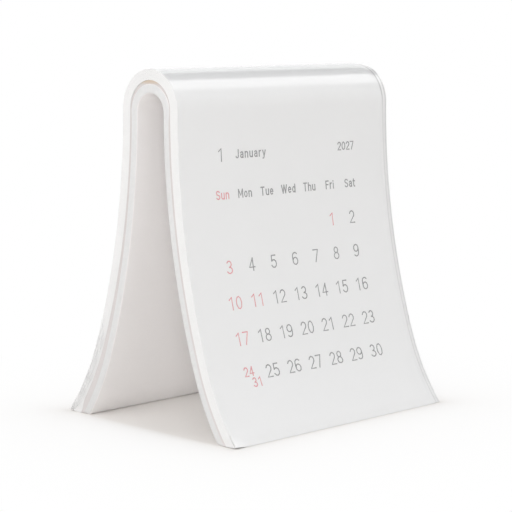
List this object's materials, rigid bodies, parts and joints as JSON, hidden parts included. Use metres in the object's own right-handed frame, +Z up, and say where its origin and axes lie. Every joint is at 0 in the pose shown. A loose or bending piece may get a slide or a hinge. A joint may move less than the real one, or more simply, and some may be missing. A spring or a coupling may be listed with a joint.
{
  "type": "desk calendar",
  "caption": "Tent-shaped desk calendar: a stack of month leaves draped over an arched stand with flared legs.",
  "frame": {"origin": "middle of the tent's foot print, on the table", "axes": "+X along the ridge, to the right as the month page is read; -Y towards the reader; +Z up"},
  "size_m": [0.112, 0.0892, 0.13],
  "materials": {
    "stand_board": "matte white board",
    "leaf_paper": "white, satin coated",
    "ink_grey": "printed grey",
    "ink_red": "printed soft red"
  },
  "bodies": {
    "root": {"stand": "stand_board", "page_pad": "leaf_paper", "print_grey": "ink_grey", "print_red": "ink_red"}
  },
  "joints": []
}
